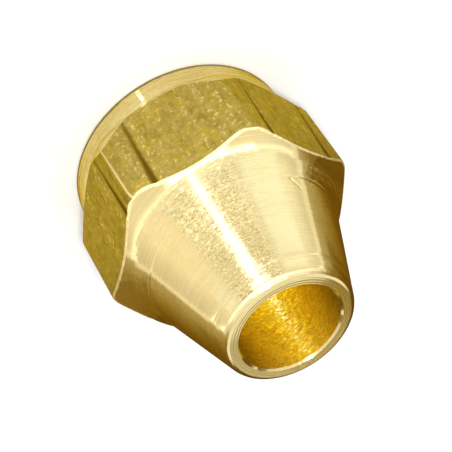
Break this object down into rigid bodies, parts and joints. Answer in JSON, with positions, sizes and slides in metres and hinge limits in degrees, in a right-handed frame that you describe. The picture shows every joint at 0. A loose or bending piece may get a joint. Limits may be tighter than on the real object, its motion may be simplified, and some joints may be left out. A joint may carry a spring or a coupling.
{
  "type": "flare nut",
  "caption": "Brass flare nut: hexagon body with a round collar at the threaded end, a filleted shoulder and a tapered nose bored for tube, with a conical flare seat inside.",
  "frame": {"origin": "centre of the thread end's face, on the nut's axis", "axes": "+Z along the axis from the thread end to the nose; two corners of the hexagon lie on the X axis"},
  "size_m": [0.0162, 0.0142, 0.0165],
  "materials": {
    "brass": "turned and drawn, bare"
  },
  "bodies": {
    "root": {"flare_nut": "brass"}
  },
  "joints": []
}
